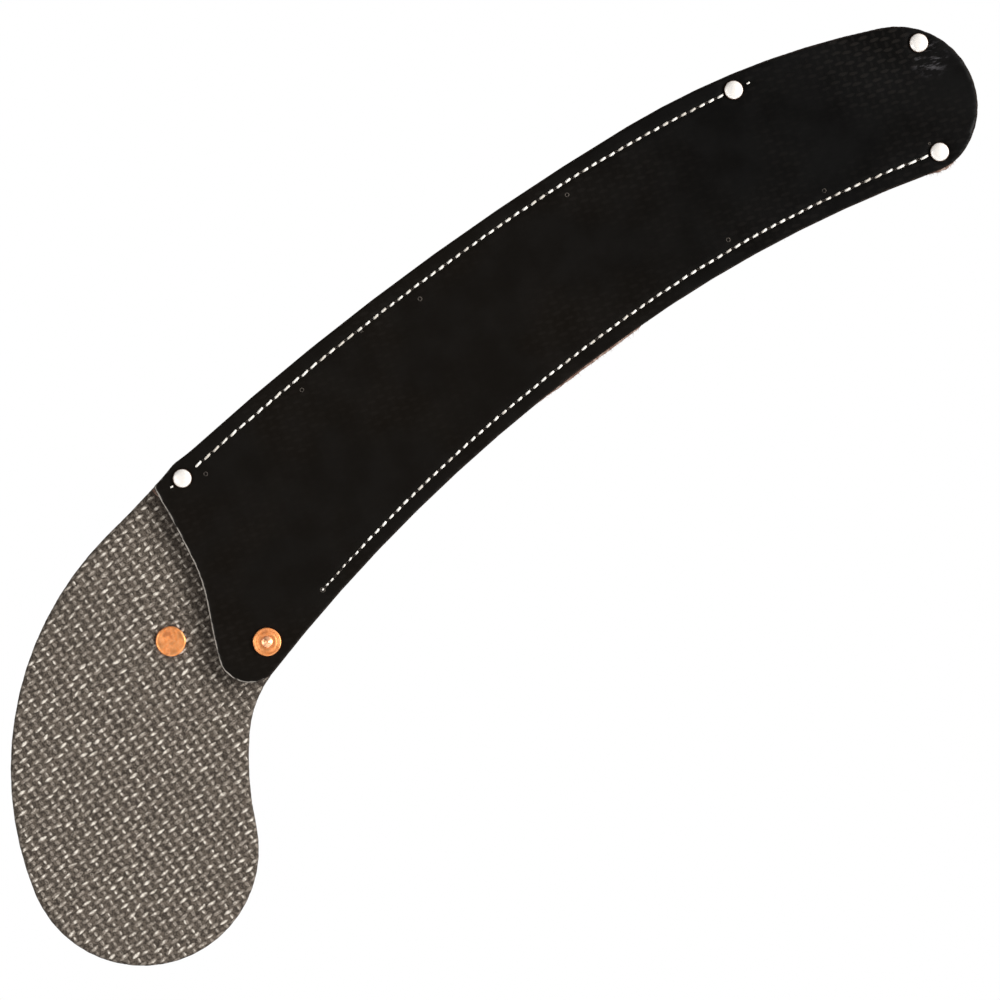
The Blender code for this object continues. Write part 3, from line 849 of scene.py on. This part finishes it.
def lay_floats(name, lengthwise, chance):
    """The yarn floats of the shield's bare cloth that run one way."""
    copies = []
    x0, z0 = FIRST_FLOAT
    welts = ("welt_spine_side", "welt_tooth_side")
    rivet = Vector(centre_of("copper_rivet_shield"))
    for column in FLOAT_COLUMNS:
        z_mid = z0 - COLUMN * column
        for row in FLOAT_ROWS:
            lag = TWILL[column % 4] + (0.0 if lengthwise else 0.5)
            x = x0 + DRIFT * column - ROW * (row + lag) + chance.gauss(0, 0.22) * MM
            z = z_mid + chance.gauss(0, 0.25) * MM
            bright = chance.uniform(0.5, 1.15)
            tilt = chance.gauss(0, 7.0)
            stretch = chance.uniform(0.75, 1.15)
            odd = column % 2 == 1
            if not all(inside("back_panel", x + a, z + b) for a, b in EDGE_ROOM):
                continue
            if (Vector((x, z)) - rivet).length < 5.6 * MM:
                continue
            if inside("front_panel", x, z + HIDDEN) or any(inside(w, x, z) for w in welts):
                continue
            if lengthwise:
                size = (1.5 * MM * chance.uniform(0.75, 1.2), 0.5 * MM, 4.4 * MM * stretch)
                lean = tilt - 4
            else:
                size = (
                    1.1 * MM if odd else 0.75 * MM, 0.45 * MM, (2.3 if odd else 2.7) * MM * stretch
                )
                bright *= 1.0 if odd else 0.62
                lean = 90 + tilt
            # The same painted shadow dims the floats beside the throat
            bright *= 1 - 0.5 * throat_painted_shadow(x, 0, z)
            copy = spawn(name, FLOAT.data.copy())
            shape = points(copy)
            reach, side = np.abs(shape[:, 2]) * 2, np.abs(shape[:, 0]) * 2
            bareness = np.clip(bright * (1.18 - reach**1.5 - 0.7 * side**1.6), 0, 1.2)
            note(copy, "bareness", bareness)
            turn = Matrix.Rotation(math.radians(lean), 4, "Y")
            spot = Vector((x, SHIELD_FACE + 0.06 * MM, z))
            place = Matrix.Translation(spot) @ turn @ Matrix.Diagonal((*size, 1.0))
            moved = np.array([place @ Vector(p) for p in shape])
            # Points that stand out past the panel's edge are pulled in
            for p in moved:
                for _ in range(8):
                    out = p - np.array(spot)
                    edge = p + out / (np.linalg.norm(out) + 1e-9) * 0.9 * MM
                    if inside("back_panel", edge[0], edge[2]):
                        break
                    p -= out * 0.3
            put(copy, moved)
            copies.append(copy)
    return joined(copies, name)


def welt_swell(z):
    """How far the tooth-side welt has crept out past its cut line, at two loose stretches."""
    down = -z / MM
    strip = np.clip((down - 160) / 26, 0, 1) * np.clip((222 - down) / 3, 0, 1)
    patch = math.exp(-(((down - 363) / 6) ** 2))
    return (1.15 * strip**0.6 + 1.15 * patch) * MM


def make_welt(node, name, seed):
    """A leather welt with a ragged, swollen cut edge."""
    welt = copy_node(node, name)
    reclad(welt, 0.8 * MM, 2, node)
    places = points(welt)
    normals = np.array([v.normal[:] for v in welt.data.vertices])
    edge = 1 - np.abs(normals[:, 1])
    swell = 0.22 * MM * rolling(places, 3.2 * MM, seed)
    swell += 0.25 * MM * rolling(places, 15 * MM, seed + 4)
    out = normals * np.array((1, 0, 1))
    places += out * (edge * (swell + 0.05 * MM))[:, None]
    if node == "welt_tooth_side":
        crept = np.array([welt_swell(z) for z in places[:, 2]])
        torn = np.where(places[:, 2] < -300 * MM, 0.6, 0.1)
        crept *= 1 + torn * rolling(places, 1.6 * MM, 7.0)
        places[:, 0] -= crept * np.clip(-normals[:, 0] * 1.5, 0, 1)
    put(welt, places)
    return welt


def make_disc(name, spot, base, facing, profile, sides=48):
    """A round piece facing along Y, raised ring by ring: (radius, height) from the rim inwards."""
    radius, height = profile[0]
    bpy.ops.mesh.primitive_cylinder_add(
        vertices=sides, radius=radius, depth=height, end_fill_type="NGON",
        location=(spot[0], base + facing * height / 2, spot[1]), rotation=(math.radians(90), 0, 0),
    )
    disc = settle(bpy.context.object)
    disc.name = name
    edit(disc)
    leave()
    for face in disc.data.polygons:
        face.select = face.normal.y * facing > 0.9
    bpy.ops.object.mode_set(mode="EDIT")
    for (before, low), (after, high) in zip(profile, profile[1:]):
        bpy.ops.mesh.inset(thickness=before - after, depth=high - low)
    bpy.ops.mesh.poke()
    leave()
    take(disc)
    bpy.ops.object.shade_smooth_by_angle(angle=math.radians(50))
    return disc


def in_mm(*pairs):
    """A disc's profile: (radius, height) pairs given in mm."""
    return [(radius * MM, height * MM) for radius, height in pairs]


CAP = in_mm((3.95, 0.9), (3.88, 1.2), (3.6, 1.5), (3.0, 1.8), (2.2, 2.02), (1.2, 2.13), (0.4, 2.15))
FLANGE = in_mm((3.95, 0.6), (3.85, 0.85), (3.4, 1.12), (2.4, 1.34), (1.2, 1.43), (0.4, 1.45))
SEAT = 0.45 * MM


def make_nickel_rivet(where):
    """A two-part rivet: a domed cap in front, and a flanged post that comes from the rear."""
    spot = centre_of("nickel_cap_" + where)
    cap = make_disc("cap_" + where, spot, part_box("nickel_cap_" + where)[1][1] + SEAT, -1, CAP)
    hand_over(cap, NICKEL, "nickel", "nickel_cap_" + where)
    low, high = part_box("nickel_post_" + where)
    flange_base = high[1] - FLANGE[-1][1]
    flange = make_disc("flange", spot, flange_base, 1, FLANGE)
    length = flange_base - low[1]
    profile = [(1.4 * MM, length), (1.1 * MM, length + 0.2 * MM)]
    post = make_disc("post", spot, flange_base, -1, profile, 24)
    hand_over(joined([flange, post], "post_" + where), NICKEL, "nickel", "nickel_post_" + where)


def strike(piece, facing, marks, spread, size, depth, chance):
    """Hammer marks on the side of a round piece that faces along Y, and a slightly uneven rim."""
    places = points(piece)
    middle = (places.min(0) + places.max(0)) / 2
    reach = (places[:, 1] - middle[1]) * facing
    face = np.clip(reach / (0.3 * MM), 0, 1)
    dent = np.zeros(len(places))
    for _ in range(marks):
        turn, out = chance.uniform(0, 2 * math.pi), spread * math.sqrt(chance.random())
        gap = np.hypot(
            places[:, 0] - middle[0] - out * math.cos(turn),
            places[:, 2] - middle[2] - out * math.sin(turn),
        )
        mark = depth * np.clip(1 - (gap / (size * chance.uniform(0.7, 1.3))) ** 2, 0, 1)
        dent = np.maximum(dent, mark)
    places[:, 1] -= facing * dent * face
    uneven = 1 + 0.02 * rolling(places, 3.0 * MM, chance.uniform(0, 50))
    places[:, 0] = middle[0] + (places[:, 0] - middle[0]) * uneven
    places[:, 2] = middle[2] + (places[:, 2] - middle[2]) * uneven
    put(piece, places)


HEAD = in_mm((6.35, 1.4), (6.28, 1.7), (6.05, 1.88), (5.5, 1.98), (4.0, 2.05), (0.5, 2.1))
PEEN = in_mm((2.5, 0.55), (2.4, 0.8), (2.0, 1.0), (1.5, 1.25), (1.1, 1.5), (0.8, 1.75), (0.3, 1.85))
WASHER = in_mm(
    (6.0, 1.15), (5.88, 1.45), (5.6, 1.62), (5.2, 1.6), (4.8, 1.42), (4.3, 1.45), (3.9, 1.62),
    (3.4, 1.66), (0.5, 1.66)
)
HEAD_BED = 1.6 * MM


def make_copper_rivet(where, chance):
    """A solid rivet: a hammered flat head, and a shank peened over a burr at the other side."""
    spot = centre_of("copper_burr_" + where)
    low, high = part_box("copper_rivet_" + where)
    burr_low, burr_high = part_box("copper_burr_" + where)
    facing = 1 if burr_low[1] > 0 else -1
    head_base = low[1] + HEAD_BED if facing > 0 else high[1] - HEAD_BED
    burr_base = burr_low[1] if facing > 0 else burr_high[1]
    end = high[1] if facing > 0 else low[1]
    head = make_disc("head", spot, head_base + facing * SEAT, -facing, HEAD)
    reclad(head, 0.28 * MM, 2)
    strike(head, -facing, 16, 5.4 * MM, 2.0 * MM, 0.16 * MM, chance)
    peen_base = end - facing * PEEN[-1][1]
    peen = make_disc("peen", spot, peen_base, facing, PEEN)
    reclad(peen, 0.2 * MM, 2)
    strike(peen, facing, 5, 1.6 * MM, 1.0 * MM, 0.12 * MM, chance)
    length = abs(peen_base - head_base)
    profile = [(2.1 * MM, length), (1.9 * MM, length + 0.1 * MM)]
    shank = make_disc("shank", spot, head_base, facing, profile, 24)
    hand_over(joined([head, shank], "rivet_" + where), COPPER, "copper", "copper_rivet_" + where)
    peen.name = "peened_end_" + where
    hand_over(peen, BRIGHT_COPPER, "copper")
    burr = make_disc("burr_" + where, spot, burr_base - facing * SEAT, facing, WASHER)
    strike(burr, facing, 0, 0, 1, 0, chance)
    hand_over(burr, COPPER, "copper", "copper_burr_" + where)


def make_belt_loop():
    """The belt loop: a strap with rounded edges and a gently uneven surface."""
    loop = copy_node("belt_loop", "belt_loop_strap")
    reclad(loop, 0.45 * MM, 4)
    places = points(loop)
    normals = np.array([v.normal[:] for v in loop.data.vertices])
    uneven = 0.07 * MM * rolling(places, 2.4 * MM, 4.0) + 0.12 * MM * rolling(places, 9 * MM, 6.0)
    places += normals * uneven[:, None]
    put(loop, places)
    return hand_over(loop, STRAP, "strap_leather", "belt_loop")


def make_ring_marks():
    """Small round scars left in the rubber by the tacks that held the panels for sewing."""
    marks = []
    for x, z, radius in TACKS:
        bpy.ops.mesh.primitive_torus_add(
            major_segments=16, minor_segments=6, major_radius=radius * MM, minor_radius=0.25 * MM,
            location=(x * MM, FRONT_FACE + 0.16 * MM, z * MM), rotation=(math.radians(90), 0, 0),
        )
        marks.append(settle(bpy.context.object))
        smooth_faces(marks[-1])
    return joined(marks, "tack_marks")


def make_fuzz(chance):
    """Leather fibres that stick out of the tooth-side welt's raw edge."""
    bpy.ops.mesh.primitive_cone_add(vertices=4, radius1=0.5, radius2=0.12, depth=1.0)
    hair = bpy.context.object
    hair.data.transform(Matrix.Translation((0, 0, 0.5)))
    hair.location = (0, 0, 0)
    edit(hair)
    bpy.ops.mesh.select_all(action="SELECT")
    bpy.ops.mesh.bisect(plane_co=(0, 0, 0.5), plane_no=(0, 0, 1))
    bpy.ops.transform.translate(value=(0.6, 0, 0))
    leave()
    settle(hair)
    tree = solid("welt_tooth_side")
    copies = []
    for _ in range(240):
        kind = chance.random()
        z = chance.uniform(-370, -20)
        if kind < 0.75:
            z = chance.gauss(-197, 24) if kind < 0.45 else chance.gauss(-363, 6)
        y = chance.uniform(-7.2, -3.8)
        hit = tree.ray_cast(Vector((-0.1, y * MM, z * MM)), Vector((1, 0, 0)))
        if hit[0] is None:
            continue
        spot, normal = hit[0], hit[1]
        stray = Vector((chance.gauss(0, 0.4), chance.gauss(0, 0.4), chance.gauss(0, 0.7)))
        way = (normal + stray).normalized()
        length = abs(chance.gauss(0.5, 0.5)) * MM + 0.4 * MM
        copy = spawn("hair", hair.data.copy())
        spot = spot + normal * (welt_swell(z * MM) - 0.3 * MM)
        turn = way.to_track_quat("Z", "Y").to_matrix().to_4x4()
        size = Matrix.Diagonal((0.14 * MM, 0.14 * MM, length, 1))
        copy.matrix_world = Matrix.Translation(spot) @ turn @ size
        copies.append(copy)
    bpy.data.objects.remove(hair)
    return joined(copies, "welt_fibres")


# ---------------------------------------------------------------- camera and light

# The camera looks along +Y from in front, rolled so that the shield lies at the lower left
SIDEWAYS = Vector((-0.5736, 0, -0.8192))
UPWARDS = Vector((0.8192, 0, -0.5736))
AIM = Vector((-19.0 * MM, -7.0 * MM, -130.8 * MM))
LENS = 400.0
FILM = 36.0
PICTURE = 420 * MM


def make_camera():
    """A long lens, far enough away that the picture is PICTURE wide at the scabbard."""
    data = bpy.data.cameras.new("Camera")
    data.lens = LENS
    data.sensor_width = FILM
    camera = spawn("Camera", data)
    turn = Matrix((SIDEWAYS, UPWARDS, FORWARD)).transposed().to_4x4()
    camera.matrix_world = Matrix.Translation(AIM + FORWARD * PICTURE * LENS / FILM) @ turn
    data.clip_start, data.clip_end = 0.05, 20
    bpy.context.scene.camera = camera


def make_light(name, right, up, out, size, watts):
    """A softbox aimed at the scabbard, in metres from it across, up and out of the picture."""
    data = bpy.data.lights.new(name, "AREA")
    data.shape = "SQUARE"
    data.size = size
    data.energy = watts
    light = spawn(name, data)
    spot = SIDEWAYS * right + UPWARDS * up + FORWARD * out
    light.location = AIM + spot
    light.rotation_euler = (-spot).to_track_quat("-Z", "Y").to_euler()


def make_studio():
    """The camera, five softboxes, a pale floor and a white surround."""
    make_camera()
    make_light("Key softbox", 1.7, 0.1, 1.5, 1.1, 51)
    make_light("Fill softbox", -0.95, -0.2, 0.9, 0.8, 8)
    make_light("Low softbox", 0.1, -1.0, 0.6, 0.8, 4.6)
    make_light("Rear softbox", 0.5, 0.4, -1.0, 0.8, 6)
    make_light("Rear fill", -0.7, -0.4, -0.9, 0.8, 8)
    bpy.ops.mesh.primitive_grid_add(
        x_subdivisions=8, y_subdivisions=8, size=3 * LIGHT_TABLE, location=(0, 0, -2.1)
    )
    floor = settle(bpy.context.object)
    floor.name = "studio_floor"
    floor.data.materials.append(studio_paint())
    world = bpy.data.worlds.new("Studio")
    world.use_nodes = True
    tree = world.node_tree
    tree.nodes.clear()
    seen = add(tree, "LightPath")["Is Camera Ray"]
    strength = add(tree, "Math", (seen, 0.9, 0.1), operation="MULTIPLY_ADD")[0]
    sky = add(tree, "Background", {"Color": (1, 1, 1, 1), "Strength": strength})
    add(tree, "OutputWorld", {"Surface": sky[0]})
    bpy.context.scene.world = world
    bpy.context.scene.view_settings.view_transform = "Standard"


# ---------------------------------------------------------------- the scabbard

make_studio()

RUBBER, CLOTH, THREADING = belting_rubber(), bare_cloth(), bonded_thread()
SCUFFED = scuffed_rubber()
LENGTHWISE = float_yarn("Rubbed warp yarn", (1, 1, 0.12))
CROSSWISE = float_yarn("Rubbed weft yarn", (0.12, 1, 1))
WELT_LEATHER, STRAP = welt_leather(), strap_leather()
NICKEL = nickel()
COPPER = copper("Hammered soft copper", "#ffb174", "#ff9f5a", "#ac6840")
BRIGHT_COPPER = copper("Freshly peened copper", "#ffc49a", "#ffb37f", "#e8985f")

make_front_panel()
make_back_panel()

# A stitch's stations, from end to end: place along it, height above the rubber, thickness
STITCH = make_stitch(
    [
        (-0.5, -0.6 * MM, 0.5),
        (-0.42, -0.12 * MM, 0.85),
        (-0.25, 0.14 * MM, 1.0),
        (0.0, 0.22 * MM, 1.05),
        (0.25, 0.14 * MM, 1.0),
        (0.42, -0.12 * MM, 0.85),
        (0.5, -0.6 * MM, 0.5),
    ],
)
chance = random.Random(11)
for seam in ("spine", "tooth"):
    front = sew("stitches_%s_front" % seam, seam, FRONT_FACE + 0.1 * MM, -1, chance, 6)
    hand_over(front, THREADING, "thread", "needle_thread_%s_seam" % seam)
    rear = sew("stitches_%s_rear" % seam, seam, -0.1 * MM, 1, chance, -4)
    hand_over(rear, THREADING, "thread", "bobbin_thread_%s_seam" % seam)
    hand_over(
        make_needle_holes("needle_holes_%s_front" % seam, seam, FRONT_FACE + 0.2 * MM, -1),
        SCUFFED,
        "belting_rubber",
    )
bpy.data.objects.remove(STITCH)

FLOAT = make_float()
hand_over(
    lay_floats("shield_floats_lengthwise", True, random.Random(21)), LENGTHWISE, "woven_belting"
)
hand_over(
    lay_floats("shield_floats_crosswise", False, random.Random(22)), CROSSWISE, "woven_belting"
)
bpy.data.objects.remove(FLOAT)

for side, seed in (("tooth", 2.0), ("spine", 9.0)):
    welt = make_welt("welt_%s_side" % side, side + "_welt", seed)
    hand_over(welt, WELT_LEATHER, "leather", "welt_%s_side" % side)
hand_over(make_fuzz(random.Random(31)), WELT_LEATHER, "leather")

for where in NICKEL_SPOTS:
    make_nickel_rivet(where)
for where in ("shield", "tongue"):
    make_copper_rivet(where, random.Random(41))
make_belt_loop()
hand_over(make_ring_marks(), SCUFFED, "belting_rubber")
